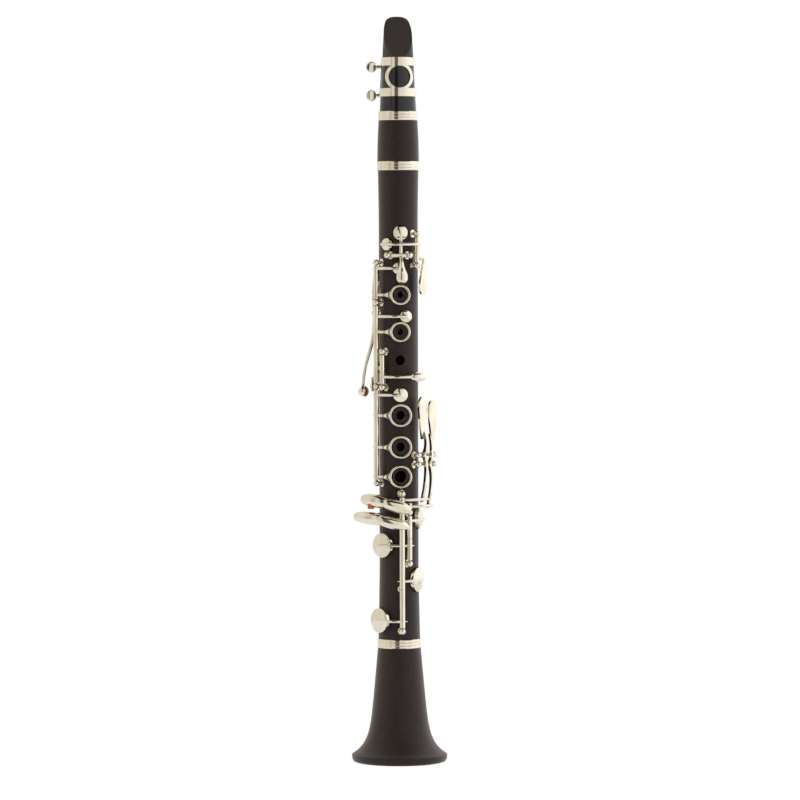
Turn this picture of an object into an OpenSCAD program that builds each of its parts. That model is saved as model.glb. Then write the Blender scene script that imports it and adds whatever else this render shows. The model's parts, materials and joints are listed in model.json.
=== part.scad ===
// Small one-piece clarinet with ring keys, standing on its bell.
// +Z runs up the bore from the bell rim, the finger holes face -Y, and +X is to the viewer's right.
// Angles go round the bore: 0 is the line of finger holes, and a positive angle turns towards +X.
// Heights called "up" are measured from the shoulder where the body meets the bell.

/* [Stack] */
// Length of the bell, rim to shoulder
bell_len = 81; // [78:0.5:86]
// Length of the body between its shoulders
body_len = 307.5; // [305:0.5:316]
// Length of the barrel
barrel_len = 38.5; // [37:0.5:44]
// Length of the mouthpiece above the barrel
mouthpiece_len = 62.5; // [60:0.5:68]
// Radius of the bore
bore_r = 6.2; // [5.8:0.1:6.6]
// Length of the tenons at both ends of the body
tenon_len = 15; // [13:0.5:16]
// Radius of the body's tenons
tenon_r = 9.6; // [9.2:0.1:10]
// Depth of the cork groove in a tenon
cork_t = 0.8; // [0.6:0.1:1]
// Gap between a piece and the seat it is pushed into
seat_gap = 0.03; // [0.02:0.01:0.05]

/* [Body] */
// Radius of the body along its straight middle
body_r = 12.8; // [12.5:0.05:13]
// How much the body swells at the bell end
foot_swell = 0.95; // [0.5:0.05:1.1]
// Length of the swell at the bell end
foot_swell_len = 52; // [40:1:60]
// How much the body swells under the barrel
head_swell = 0.5; // [0.2:0.05:0.6]
// Length of the swell under the barrel
head_swell_len = 37; // [30:1:40]
// Height of the finger-hole chimneys above the body
chimney_rise = 1.65; // [1.4:0.05:1.9]
// Radius of the left-hand chimneys
left_chimney_r = 4.4; // [4.2:0.1:4.5]
// Radius of the right-hand chimneys
right_chimney_r = 5.25; // [5:0.05:5.3]
// Radius of the upper finger holes
left_hole_r = 2.2; // [1.8:0.1:2.6]
// Radius of the plain third finger hole
plain_hole_r = 3.4; // [3:0.1:3.7]
// Radius of the first two right-hand holes
right_hole_r = 3.1; // [2.8:0.1:3.5]
// Radius of the lowest finger hole
ring_hole_r = 4.2; // [3.8:0.1:4.4]

/* [Bell] */
// Radius of the bell at its rim
bell_r = 31.4; // [30.5:0.1:33]
// Radius of the bell under its ring
bell_throat_r = 14.1; // [13.9:0.05:14.4]
// Spread of the bell's straight stretch, per millimetre
bell_spread = 0.09; // [0.08:0.005:0.1]
// Strength of the bell's flare
bell_flare = 21.4; // [19:0.2:23]
// Length over which the flare fades
bell_fade = 7.05; // [6.5:0.05:7.6]
// Width of the flat that the bell stands on
bell_foot = 2.6; // [2:0.1:3.2]
// Rounding of the bell's lip
bell_lip = 2; // [1.5:0.1:2.4]
// Height of the metal rings on bell and barrel
ring_h = 5.8; // [5:0.1:6.5]
// Thickness of the metal rings
ring_t = 0.9; // [0.7:0.05:1.1]
// How far a metal ring stands proud of the wood
ring_proud = 0.3; // [0.2:0.05:0.4]

/* [Barrel] */
// Radius of the barrel at its widest
barrel_r = 13.65; // [13.4:0.05:13.9]
// Radius of the barrel at its top
barrel_top_r = 12.75; // [12.5:0.05:12.9]
// Room that the tuning pull-out takes
tuning_pull = 3; // [2:0.5:4]

/* [Mouthpiece] */
// Radius of the mouthpiece where it leaves the barrel
mouthpiece_r = 12.05; // [11.8:0.05:12.2]
// Radius of the mouthpiece where the beak begins
beak_r = 10.2; // [10:0.05:10.4]
// Length of the sloping beak
beak_len = 28; // [26:0.5:30]
// Half width of the beak just under its round tip
tip_half_w = 9.1; // [8.8:0.1:9.4]
// Thickness of the tip
tip_t = 1; // [0.8:0.1:1.4]
// Distance of the flat reed table from the bore axis
table_y = 7.4; // [7.2:0.1:7.6]
// Width of the reed
reed_w = 11.5; // [11:0.1:12]
// Thickness of the reed's tip
reed_tip_t = 0.35; // [0.3:0.05:0.5]
// Thickness of the ligature band
ligature_t = 0.7; // [0.6:0.05:0.9]
// Height of the ligature
ligature_h = 25.5; // [24:0.5:27]
// Place of the ligature above the barrel
ligature_up = 9.7; // [9:0.1:11]
// Radius of the round window in the ligature
ligature_window_r = 7.2; // [6.5:0.1:7.6]
// Height of the ligature's closed bands
ligature_band = 5.4; // [5:0.1:6]
// Radius of the thumb-screw heads
screw_head_r = 3.6; // [3.2:0.1:3.8]

/* [Keys] */
// Radius of a hinge rod
rod_r = 0.9; // [0.8:0.05:1]
// Running gap between a rod and what turns on it
rod_gap = 0.05; // [0.03:0.01:0.08]
// Radius of a hinge tube
tube_r = 1.75; // [1.6:0.05:1.85]
// Gap between the end of a tube and its post
end_gap = 0.3; // [0.2:0.05:0.4]
// Radius of a post's ball head
ball_r = 2.15; // [2:0.05:2.25]
// Radius of a post's stem
stem_r = 1.25; // [1.1:0.05:1.4]
// Radius of a post's base
base_r = 2.5; // [2.3:0.1:2.7]
// Radius of a key's arm
arm_r = 1; // [0.9:0.05:1.1]
// Pad standing out of its cup
pad_proud = 0.6; // [0.5:0.05:0.8]
// Depth of a pad inside its cup
pad_depth = 1.2; // [1:0.05:1.4]
// Height of a small cup's straight side
cup_side = 1.5; // [1.4:0.05:1.8]
// Height of a large cup's straight side
large_cup_side = 2.3; // [2:0.1:2.6]
// Thickness of a cup's side
cup_wall = 0.4; // [0.35:0.05:0.5]
// Height of a small cup's cone
small_cone = 1.6; // [1.4:0.1:1.9]
// Height of a large cup's cone
large_cone = 2.2; // [2:0.1:2.5]
// Gap between a closed pad and its seat
pad_gap = 0.04; // [0.02:0.01:0.06]
// Radius of the large low-note cups
large_cup_r = 8; // [7.6:0.1:8.2]
// Radius of the usual small cups
small_cup_r = 4.75; // [4.5:0.05:4.9]
// Radius of the smallest cups
tiny_cup_r = 4; // [3.8:0.05:4.2]
// Gap between a finger ring and its chimney
ring_clear = 0.7; // [0.65:0.05:0.85]
// Width of a finger ring
finger_ring_w = 1.55; // [1.3:0.05:1.7]
// Thickness of a finger ring
finger_ring_t = 1.3; // [1.1:0.05:1.4]
// Angle by which ring keys stand open
ring_lift = 3.4; // [2.8:0.1:3.6]
// Angle by which the low-note keys stand open
low_lift = 8; // [6:0.2:8.2]

/* [Hidden] */
$fn = 48;
steps = 12;

wood = [0.13, 0.10, 0.09];
ebonite = [0.10, 0.10, 0.10];
metal = [0.80, 0.77, 0.70];
steel = [0.55, 0.55, 0.57];
pad_skin = [0.85, 0.78, 0.62];
cork = [0.72, 0.45, 0.24];
cane = [0.85, 0.72, 0.42];

// Levels of the stack
body_low = bell_len;
body_top = body_low + body_len;
barrel_top = body_top + barrel_len;
tip_z = barrel_top + mouthpiece_len;
socket_r = tenon_r + seat_gap;
socket_len = tenon_len + 0.5;
head_tenon_len = 14;
head_tenon_r = 9.1;

// Heights of the keys: shares of the body's length, and steps from one piece to the next
function share(s) = s * body_len;
register_pad_up = share(0.891);
register_rod_up = register_pad_up - 18;
a_rod_up = share(0.819);
a_pad_up = a_rod_up + 14.7;
g_pad_up = a_rod_up + 7.2;
g_top_up = a_rod_up + 14.2;
g_low_up = a_rod_up - 6.8;
first_top_up = a_rod_up - 4.6;
first_pad_up = first_top_up - 3.9;
first_ring_up = first_top_up - 21.2;
first_low_up = first_ring_up - 5;
second_pad_up = first_low_up - 9.1;
second_ring_up = second_pad_up - 10.1;
plain_hole_up = share(0.5958);
middle_post_up = share(0.5405);
cross_top_up = middle_post_up + 22.8;
cross_low_up = middle_post_up - 0.7;
cross_arm_up = middle_post_up + 6.2;
cross_pad_up = middle_post_up + 11.8;
right_pad_up = middle_post_up - 5.6;
right_ring_ups = [share(0.4787), share(0.4111), share(0.348)];
right_low_up = right_ring_ups[2] - 4.4;
thumb_hole_up = share(0.722);
thumb_rest_up = share(0.455);
trill_rod_up = share(0.696);
lower_trill_rod_up = trill_rod_up - 9;
trill_touch_up = share(0.536);
long_lever_up = share(0.3938);
short_lever_up = long_lever_up - 6.2;
long_touch_up = long_lever_up + 10.4;
short_touch_up = long_lever_up + 7.9;
low_e_top_up = share(0.3122);
long_arm_up = low_e_top_up - 3.8;
short_arm_up = low_e_top_up - 8.2;
low_split_up = low_e_top_up - 14.2;
f_sharp_top_up = short_arm_up - 4;
a_flat_pad_up = f_sharp_top_up - 4.2;
f_sharp_split_up = f_sharp_top_up - 17.2;
f_sharp_pad_up = f_sharp_split_up - 4.6;
f_sharp_low_up = f_sharp_pad_up - 11.8;
low_f_pad_up = share(0.1268);
low_mid_up = low_f_pad_up - 5.5;
low_e_pad_up = share(0.041);
low_e_low_up = low_e_pad_up - 6.5;

// Angles of the hinge rods and pads round the body
main_rod_a = -63.5;
cross_rod_a = -46.5;
g_rod_a = 39.5;
f_sharp_rod_a = 17.6;
thumb_rod_a = 138;
g_pad_a = -40;
first_pad_a = -4;
second_pad_a = 16;
cross_pad_a = -98;
thumb_pad_a = 172;
upper_trill_a = -97;
lower_trill_a = -131;
lever_a = 43;
low_f_pad_a = 58.7;
a_flat_pad_a = 74;
f_sharp_pad_a = -57;
low_e_pad_a = -62;

// Distances of the hinge rods from the bore axis
main_rod_d = body_r + 4.65;
cross_rod_d = body_r + 3.85;
g_rod_d = body_r + 4.1;
low_e_rod_d = body_r + 6.2;
f_sharp_rod_d = body_r + 4.05;
thumb_rod_d = body_r + 4.1;
a_rod_d = body_r + 2.9;
lever_rod_d = body_r + 4.15;
trill_rod_d = body_r + 2.8;
register_rod_d = body_r + 3.3;

function polar(a, d) = [d * sin(a), -d * cos(a)];
function polar3(a, d, z) = [d * sin(a), -d * cos(a), z];
function body_out(up) = body_r
    + foot_swell * pow(max(0, 1 - up / foot_swell_len), 1.3)
    + head_swell * pow(max(0, 1 - (body_len - up) / head_swell_len), 1.5);
function rim_h(cup_r) = cup_r > small_cup_r ? large_cup_side : cup_side;
function bead_r(cup_r) = cup_r > small_cup_r ? 0.75 * cup_r : cup_r + 0.4;
function seat_d(cup_r, up) = sqrt(pow(body_out(up), 2) - pow(bead_r(cup_r), 2)) - 0.1;
function cup_apex(cup_r, cone) = pad_proud + rim_h(cup_r) + cone;
function bezier(p, t) = pow(1 - t, 3) * p[0] + 3 * pow(1 - t, 2) * t * p[1]
    + 3 * (1 - t) * t * t * p[2] + t * t * t * p[3];
function slope(p, t) = 3 * pow(1 - t, 2) * (p[1] - p[0]) + 6 * (1 - t) * t * (p[2] - p[1])
    + 3 * t * t * (p[3] - p[2]);

main_rod = polar(main_rod_a, main_rod_d);
cross_rod = polar(cross_rod_a, cross_rod_d);
g_rod = polar(g_rod_a, g_rod_d);
low_e_rod_at = polar(0, low_e_rod_d);
f_sharp_rod_at = polar(f_sharp_rod_a, f_sharp_rod_d);
thumb_rod = polar(thumb_rod_a, thumb_rod_d);

// Places of the two posts of each level rod, along the rod
a_post_x = [-9, 5.8];
lever_post_t = [0, 15.6];
lever_offs = [4.4, 9.8];
lever_hub = 1.5;
lever_touch_l = 28;
trill_post_t = 4;
register_post_t = 5.2;
trill_rise = 25;
trill_touch_r = 2.9;
trill_swing = 8;
lower_trill_swing = 3.2;
lower_touch_r = 2.2;
thumb_top_rise = 10;
thumb_low_drop = 24;
thumb_pad_drop = 19;

// Little-finger touches, each from its outer tip to its inner tip, and where each neck leaves its touch
cluster_z = body_low + low_e_top_up + 0.8;
low_e_touch = [polar3(-74, body_r + 13.8, cluster_z - 4.2), polar3(-22, body_r + 5.5, cluster_z - 7)];
low_e_neck = polar3(-32, body_r + 6.5, cluster_z - 6.6);
low_f_touch = [polar3(-80, body_r + 17.7, cluster_z - 15.8), polar3(-26, body_r + 5.5, cluster_z - 18)];
low_f_neck = polar3(-36, body_r + 6.7, cluster_z - 17.4);
f_sharp_touch = [polar3(-26, body_r + 17.2, cluster_z - 5.8), polar3(11, body_r + 14,
    cluster_z - 11.2)];
f_sharp_neck = polar3(6, body_r + 13.8, cluster_z - 10.4);
a_flat_touch = [polar3(-35, body_r + 16.6, cluster_z - 16.8), polar3(8, body_r + 13.4, cluster_z - 21.9)];
a_flat_neck = polar3(4, body_r + 13.2, cluster_z - 21.2);
touch_rs = [4.5, 4.3, 4.2, 4];
neck_r = 1.6;

// Basic shapes

// Puts a piece at a height on the surface line at an angle, facing outwards along its own +Z
module facing(a, d, up) {
    rotate([0, 0, a]) translate([0, -d, body_low + up]) rotate([90, 0, 0]) children();
}

// Turns a piece about an upright rod
module turned(rod, deg) {
    translate([rod.x, rod.y, 0]) rotate([0, 0, deg]) translate([-rod.x, -rod.y, 0]) children();
}

// Straight bar between two points
module bar(p, q, r1, r2) {
    d = q - p;
    l = norm(d);
    translate(p) rotate([0, acos(d.z / l), atan2(d.y, d.x)]) cylinder(h = l, r1 = r1, r2 = r2);
}

// Finger touch between its two tips, blunt at the first and slimmer at the second
module plump(p, q, r) {
    l = norm(q - p);
    side = [for (i = [1 : steps - 1]) let (w = 180 * i / steps)
        [r * pow(sin(w), 0.5 + 0.6 * i / steps), l * (1 - cos(w)) / 2]];
    turned_touch(p, q, concat([[0, 0]], side, [[0, l]]));
}

// Bottle-shaped touch that swells from a neck at p to a full round end at q
module bottle(p, q, r, neck) {
    l = norm(q - p);
    swell = [for (i = [0 : steps]) let (t = i / steps) [neck + (r - neck) * pow(sin(90 * t), 2),
        0.72 * l * t]];
    end = [for (i = [1 : 5]) [r * pow(cos(18 * i), 0.6), l * (0.72 + 0.28 * sin(18 * i))]];
    turned_touch(p, q, concat([[0, 0]], swell, end));
}
module turned_touch(p, q, outline) {
    d = q - p;
    translate(p) rotate([0, acos(d.z / norm(d)), atan2(d.y, d.x)]) rotate_extrude() polygon(outline);
}

// Round bar that bows round the body from p, counter-clockwise seen from above, to q
module bow(p, q, d, up, r = arm_r) {
    l = norm(q - p);
    c = (p + q) / 2 + sqrt(d * d - l * l / 4) * [p.y - q.y, q.x - p.x] / l;
    translate([c.x, c.y, body_low + up]) rotate([0, 0, atan2(p.y - c.y, p.x - c.x)])
        rotate_extrude(angle = 2 * asin(l / (2 * d))) translate([d, 0]) circle(r);
}

// Strip of changing width along a curve, drawn flat
module strip(p, w0, w1) {
    rim = [for (s = [-1, 1]) [for (i = [0 : steps])
        let (t = i / steps, v = slope(p, t) / norm(slope(p, t)), w = w0 + (w1 - w0) * t)
        bezier(p, t) + s * w * [-v.y, v.x]]];
    polygon(concat(rim[0], [for (i = [steps : -1 : 0]) rim[1][i]]));
}

// Plate standing on edge in the plane through the bore at an angle, drawn as distance and height
module edge_plate(a, t, off = 0) {
    rotate([0, 0, a]) translate([off, 0, 0]) rotate([90, 0, -90])
        translate([0, 0, -t / 2]) linear_extrude(t) children();
}

// Upright tube between two heights, drilled for its rod
module tube(rod, low, high, r = tube_r) {
    translate([rod.x, rod.y, body_low + low]) cylinder(h = high - low, r = r);
}
module tube_bore(rod, low, high) {
    translate([rod.x, rod.y, body_low + low - 2]) cylinder(h = high - low + 4, r = rod_r + rod_gap);
}

// Pointed tail of an arm past its tube
module tail(rod, away, up) {
    v = (rod - away) / norm(rod - away);
    p = [rod.x, rod.y, body_low + up];
    bar(p, p + 3.3 * [v.x, v.y, 0], arm_r * 0.96, 0.3);
}

// Pad cup with a cone top, its pad's face at height 0
module cup(r, cone) {
    side = rim_h(r);
    rotate_extrude() polygon([[0, pad_proud + pad_depth], [r - cup_wall, pad_proud + pad_depth],
        [r - cup_wall, pad_proud], [r, pad_proud], [r, pad_proud + side - 0.3],
        [r - 0.3, pad_proud + side], [0.5, cup_apex(r, cone)], [0, cup_apex(r, cone)]]);
}
module pad(r) {
    color(pad_skin) rotate_extrude() polygon([[0, 0], [r - cup_wall - 0.5, 0],
        [r - cup_wall - seat_gap, 0.35],
        [r - cup_wall - seat_gap, pad_proud + pad_depth], [0, pad_proud + pad_depth]]);
}

// Room for the pad in its cup
module pad_room(r) {
    cylinder(h = pad_proud + pad_depth, r = r - cup_wall);
}

// Cup over its seat, shut
module seated(a, up, r) {
    facing(a, seat_d(r, up) + pad_gap, up) children();
}

// Arm from a rod to the top of a cup
module cup_arm(rod, a, up, arm_up, r, cone, bow_d = body_r + 3) {
    top = polar(a, seat_d(r, up) + cup_apex(r, cone) + 0.2);
    ccw = (a > atan2(rod.x, -rod.y));
    p = ccw ? rod : top;
    q = ccw ? top : rod;
    bow(p, q, max(bow_d, norm(q - p) / 2 + 0.5), arm_up);
    tail(rod, polar((a + 3 * atan2(rod.x, -rod.y)) / 4, norm(rod)), arm_up);
}

// Finger ring lying shut round its chimney
module finger_ring(chimney_r, up, a = 0) {
    inner = chimney_r + ring_clear;
    facing(a, body_r + chimney_rise - finger_ring_t - 0.1, up) rotate_extrude()
        polygon([[inner, 0.2], [inner + 0.2, 0], [inner + finger_ring_w - 0.3, 0], [inner
            + finger_ring_w, 0.4],
            [inner + finger_ring_w, finger_ring_t - 0.4], [inner + finger_ring_w - 0.4, finger_ring_t],
            [inner + 0.95, finger_ring_t], [inner + 0.8, finger_ring_t - 0.25], [inner + 0.65,
                finger_ring_t],
            [inner + 0.4, finger_ring_t], [inner, finger_ring_t - 0.4]]);
}

// Flared web and arm that carry a finger ring from the main rod
module ring_arm(chimney_r, up) {
    outer = chimney_r + ring_clear + finger_ring_w;
    from_x = -outer - 4.6;
    to_x = -outer * 0.6;
    edge = [for (i = [0 : steps]) let (t = i / steps) [from_x + (to_x - from_x) * t, 0.85
        + outer * 0.62 * pow(t, 2.1)]];
    difference() {
        facing(0, body_r + chimney_rise - finger_ring_t + 0.05, up) linear_extrude(finger_ring_t - 0.3)
            polygon(concat(edge, [for (i = [steps : -1 : 0]) [edge[i].x, -edge[i].y]]));
        facing(0, body_r, up) cylinder(h = 4, r = chimney_r + ring_clear + 0.2);
    }
    knee = [from_x + 2.2, -(body_r + chimney_rise - 0.6)];
    bow(main_rod, knee, body_r + 2.6, up);
    tail(main_rod, knee, up);
}

// Post with a ball head on a rod, its base let into the body
module post(p, up, head_r = ball_r) {
    d = norm(p);
    a = atan2(p.x, -p.y);
    floor_d = post_floor(up);
    facing(a, 0, up) {
        translate([0, 0, d]) sphere(head_r);
        translate([0, 0, floor_d]) cylinder(h = d - floor_d, r = stem_r);
        translate([0, 0, floor_d]) cylinder(h = 0.9, r = base_r);
        translate([0, 0, floor_d - 3.2]) cylinder(h = 4, r = stem_r - 0.4);
    }
}
function post_floor(up) = sqrt(pow(body_out(up), 2) - base_r * base_r) - 0.25;
module post_socket(p, up) {
    facing(atan2(p.x, -p.y), post_floor(up), up) {
        cylinder(h = 6, r = base_r + seat_gap);
        translate([0, 0, -3.4]) cylinder(h = 4, r = stem_r - 0.4 + seat_gap);
    }
}

// Ball of the low keys' middle post, behind their tubes
cradle_at = polar(0, low_e_rod_d - 1.3);

// Points of the rods that lie level, in their own directions
function a_post(i) = [a_post_x[i], -a_rod_d];
function lever_post(i) = polar(lever_a, lever_rod_d) + lever_post_t[i] * [cos(lever_a), sin(lever_a)];
function trill_post(a, s) = polar(a, trill_rod_d) + s * trill_post_t * [cos(a), sin(a)];
function register_post(s) = [s * register_post_t, register_rod_d];

upper_post_list = [[main_rod, first_top_up], [main_rod, first_low_up], [main_rod, middle_post_up],
    [g_rod, g_top_up], [g_rod, g_low_up], [a_post(0), a_rod_up], [a_post(1), a_rod_up],
    [cross_rod, cross_top_up], [cross_rod, cross_low_up], [thumb_rod, thumb_hole_up + thumb_top_rise],
    [thumb_rod, thumb_hole_up - thumb_low_drop], [register_post(-1), register_rod_up],
        [register_post(1), register_rod_up],
    [trill_post(upper_trill_a, 1), trill_rod_up], [trill_post(upper_trill_a, -1), trill_rod_up],
    [trill_post(lower_trill_a, 1), lower_trill_rod_up], [trill_post(lower_trill_a, -1),
        lower_trill_rod_up]];
lower_post_list = [[main_rod, right_low_up], [low_e_rod_at, low_e_top_up], [cradle_at, low_mid_up],
    [low_e_rod_at, low_e_low_up], [f_sharp_rod_at, f_sharp_top_up], [f_sharp_rod_at, f_sharp_low_up],
    [lever_post(0), long_lever_up], [lever_post(1), long_lever_up], [lever_post(0), short_lever_up],
    [lever_post(1), short_lever_up]];

// Every rod of the keys that turn on fixed rods, at a radius
module fixed_rods(r) {
    tube(main_rod, right_low_up - 1.6, first_top_up + 1.6, r);
    tube(g_rod, g_low_up - 1.6, g_top_up + 1.6, r);
    tube(cross_rod, cross_low_up - 1.6, cross_top_up + 1.6, r);
    tube(thumb_rod, thumb_hole_up - thumb_low_drop - 1.6, thumb_hole_up + thumb_top_rise + 1.6, r);
    level_rod(a_post(0), a_post(1), a_rod_up, r);
    level_rod(register_post(-1), register_post(1), register_rod_up, r);
    level_rod(trill_post(upper_trill_a, -1), trill_post(upper_trill_a, 1), trill_rod_up, r);
    level_rod(trill_post(lower_trill_a, -1), trill_post(lower_trill_a, 1), lower_trill_rod_up, r);
    for (up = [long_lever_up, short_lever_up]) level_rod(lever_post(0), lever_post(1), up, r);
}
module level_rod(p, q, up, r) {
    v = 1.6 * (q - p) / norm(q - p);
    bar([p.x - v.x, p.y - v.y, body_low + up], [q.x + v.x, q.y + v.y, body_low + up], r, r);
}
module through_rods(r) {
    tube(low_e_rod_at, low_e_low_up - 1.6, low_e_top_up + 1.6, r);
    tube(f_sharp_rod_at, f_sharp_low_up - 1.6, short_arm_up + 2, r);
}

// Padded holes: angle, height, cup radius, hole radius
padded_holes = [[0, a_pad_up, small_cup_r, 2.2], [g_pad_a, g_pad_up, tiny_cup_r, 2],
    [first_pad_a, first_pad_up, tiny_cup_r, 2], [second_pad_a, second_pad_up, tiny_cup_r, 2],
    [cross_pad_a, cross_pad_up, tiny_cup_r, 2], [0, right_pad_up, small_cup_r, 2.6],
    [thumb_pad_a, thumb_hole_up - thumb_pad_drop, tiny_cup_r, 1.8], [180, register_pad_up,
        tiny_cup_r, 1.9],
    [upper_trill_a, trill_rod_up + trill_rise, tiny_cup_r, 2],
    [lower_trill_a, lower_trill_rod_up + trill_rise, tiny_cup_r, 2],
    [low_f_pad_a, low_f_pad_up, large_cup_r, 4.6], [a_flat_pad_a, a_flat_pad_up, large_cup_r - 0.5, 4.2],
    [f_sharp_pad_a, f_sharp_pad_up, large_cup_r, 4.6], [low_e_pad_a, low_e_pad_up, large_cup_r, 4.8]];

// Body, bell and barrel

module body_tube() {
    outer = concat(
        [for (i = [0 : 8]) let (up = foot_swell_len * i / 8) [body_out(up), body_low + up]],
        [for (i = [0 : 6]) let (up = body_len - head_swell_len * (1 - i / 6)) [body_out(up),
            body_low + up]]);
    top = body_top + tenon_len;
    low = body_low - tenon_len;
    groove = [3, tenon_len - 3];
    profile = concat([[bore_r, low], [tenon_r, low], [tenon_r, low + groove[0]],
            [tenon_r - cork_t, low + groove[0]], [tenon_r - cork_t, low + groove[1]],
            [tenon_r, low + groove[1]], [tenon_r, body_low]], outer,
        [[tenon_r, body_top], [tenon_r, body_top + groove[0]], [tenon_r - cork_t, body_top + groove[0]],
            [tenon_r - cork_t, body_top + groove[1]], [tenon_r, body_top + groove[1]], [tenon_r,
                top], [bore_r, top]]);
    color(wood) difference() {
        union() {
            rotate_extrude() polygon(profile);
            for (up = [first_ring_up, second_ring_up]) chimney(0, up, left_chimney_r);
            for (up = right_ring_ups) chimney(0, up, right_chimney_r);
            chimney(180, thumb_hole_up, left_chimney_r);
        }
        translate([0, 0, low - 1]) cylinder(h = top - low + 2, r = bore_r);
        for (h = padded_holes) pad_seat(h[0], h[1], h[2], h[3]);
        for (up = [first_ring_up, second_ring_up]) hole(0, up, left_hole_r);
        hole(0, plain_hole_up, plain_hole_r);
        for (i = [0 : 2]) hole(0, right_ring_ups[i], i < 2 ? right_hole_r : ring_hole_r);
        hole(180, thumb_hole_up, bushing_r);
        facing(180, 0, register_pad_up) cylinder(h = body_r, r = register_tube_r);
        for (p = concat(upper_post_list, lower_post_list)) post_socket(p[0], p[1]);
        for (up = rest_screw_ups) facing(180, 8.6, thumb_rest_up + up) cylinder(h = 8, r = rest_screw_r);
    }
}
bushing_r = 2.9;
register_tube_r = 2.4;
register_in = 1.6;
rest_screw_ups = [2.6, 7];
rest_screw_r = 0.9;
module chimney(a, up, r) {
    facing(a, bore_r + 1, up) cylinder(h = body_r + chimney_rise - bore_r - 1, r = r);
}
module hole(a, up, r) {
    facing(a, 0, up) cylinder(h = body_r + 4, r = r);
}
module pad_seat(a, up, cup_r, hole_r) {
    d = seat_d(cup_r, up);
    facing(a, d - 0.5, up) difference() {
        cylinder(h = 8, r = cup_r + 0.5);
        translate([0, 0, -1]) cylinder(h = 1.5, r = hole_r + 0.9);
    }
    hole(a, up, hole_r);
}
module tenon_cork(low) {
    color(cork) translate([0, 0, low]) difference() {
        cylinder(h = tenon_len - 6, r = tenon_r - seat_gap / 3);
        translate([0, 0, -1]) cylinder(h = tenon_len, r = tenon_r - cork_t + seat_gap / 3);
    }
}
module body_top_cork() tenon_cork(body_top + 3);
module body_bottom_cork() tenon_cork(body_low - tenon_len + 3);

function bell_out(z) = min(bell_r, bell_throat_r + bell_spread * (bell_len - ring_h - z)
    + bell_flare * exp(-z / bell_fade));
bell_in_r = bore_r + 0.9;
function bell_in(z) = bell_in_r
    + (bell_r - bell_lip - bell_foot - bell_in_r - 12.5) * (1 - z / (bell_len - tenon_len))
    + 12.5 * (exp(-z / 10) - exp(-(bell_len - tenon_len) / 10));
module bell() {
    inner_top = bell_len - socket_len;
    lip_z = 4.6;
    n = 30;
    outer = [for (i = [0 : n]) let (z = lip_z + (bell_len - ring_h - lip_z) * pow(i / n,
        1.7)) [bell_out(z), z]];
    lip = [for (i = [0 : 4]) let (w = 90 * i / 4) [bell_r - bell_lip + bell_lip * sin(w),
        (lip_z - 1) * (1 - cos(w))]];
    inner = [for (i = [0 : n]) let (z = inner_top * pow(1 - i / n, 1.7)) [bell_in(z), z]];
    ring_seat = bell_throat_r + ring_proud - ring_t - seat_gap;
    color(wood) rotate_extrude() polygon(concat(lip, outer, [[ring_seat, bell_len - ring_h],
        [ring_seat, bell_len],
        [socket_r, bell_len], [socket_r, inner_top]], inner));
}
// Metal ring with two fine grooves
module metal_ring(r, low) {
    color(metal) translate([0, 0, low]) rotate_extrude() polygon(concat([[r - ring_t, 0], [r - 0.25,
        0], [r, 0.3]],
        [for (g = [1, 2]) for (k = [[-0.28, 0], [0, -0.22], [0.28, 0]]) [r + k.y, ring_h * g / 3 + k.x]],
        [[r, ring_h - 0.3], [r - 0.25, ring_h], [r - ring_t, ring_h]]));
}
module bell_ring() metal_ring(bell_throat_r + ring_proud, bell_len - ring_h);

module barrel() {
    low_seat = barrel_r + ring_proud - ring_t - seat_gap;
    top_seat = barrel_top_r + ring_proud - ring_t - seat_gap;
    span = barrel_len - 2 * ring_h;
    side = [for (i = [0 : 8]) let (t = i / 8)
        [barrel_r + (barrel_top_r - barrel_r) * pow(t, 1.8), body_top + ring_h + span * t]];
    color(wood) rotate_extrude() polygon(concat([[socket_r, body_top], [low_seat, body_top],
        [low_seat, body_top + ring_h]], side, [[top_seat, barrel_top - ring_h], [top_seat, barrel_top],
        [head_tenon_r + seat_gap, barrel_top], [head_tenon_r + seat_gap,
            barrel_top - head_tenon_len - 0.4],
        [bore_r, barrel_top - head_tenon_len - 0.4], [bore_r, body_top + socket_len], [socket_r,
            body_top + socket_len]]));
}
module barrel_bottom_ring() metal_ring(barrel_r + ring_proud, body_top);
module barrel_top_ring() metal_ring(barrel_top_r + ring_proud, barrel_top - ring_h);

// Mouthpiece, reed and ligature

beak_low = tip_z - beak_len;
function head_r(z) = mouthpiece_r + (beak_r - mouthpiece_r) * (z - barrel_top) / (beak_low - barrel_top);
module head_cone(grow) {
    translate([0, 0, barrel_top]) cylinder(h = mouthpiece_len, r1 = head_r(barrel_top) + grow,
        r2 = head_r(tip_z) + grow);
}
module beak_front() {
    round_up = 8.5;
    tip = [for (i = [0 : 8]) let (w = 90 * i / 8) [tip_half_w * pow(cos(w), 0.75), tip_z - round_up
        + round_up * pow(sin(w), 0.9)]];
    rotate([90, 0, 0]) translate([0, 0, -20]) linear_extrude(40)
        polygon(concat([[mouthpiece_r + 1, barrel_top - 1]], [[mouthpiece_r + 1, beak_low - 8]],
            tip, [for (i = [8 : -1 : 0]) [-tip[i].x, tip[i].y]], [[-mouthpiece_r - 1, beak_low - 8]],
            [[-mouthpiece_r - 1, barrel_top - 1]]));
}
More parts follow.
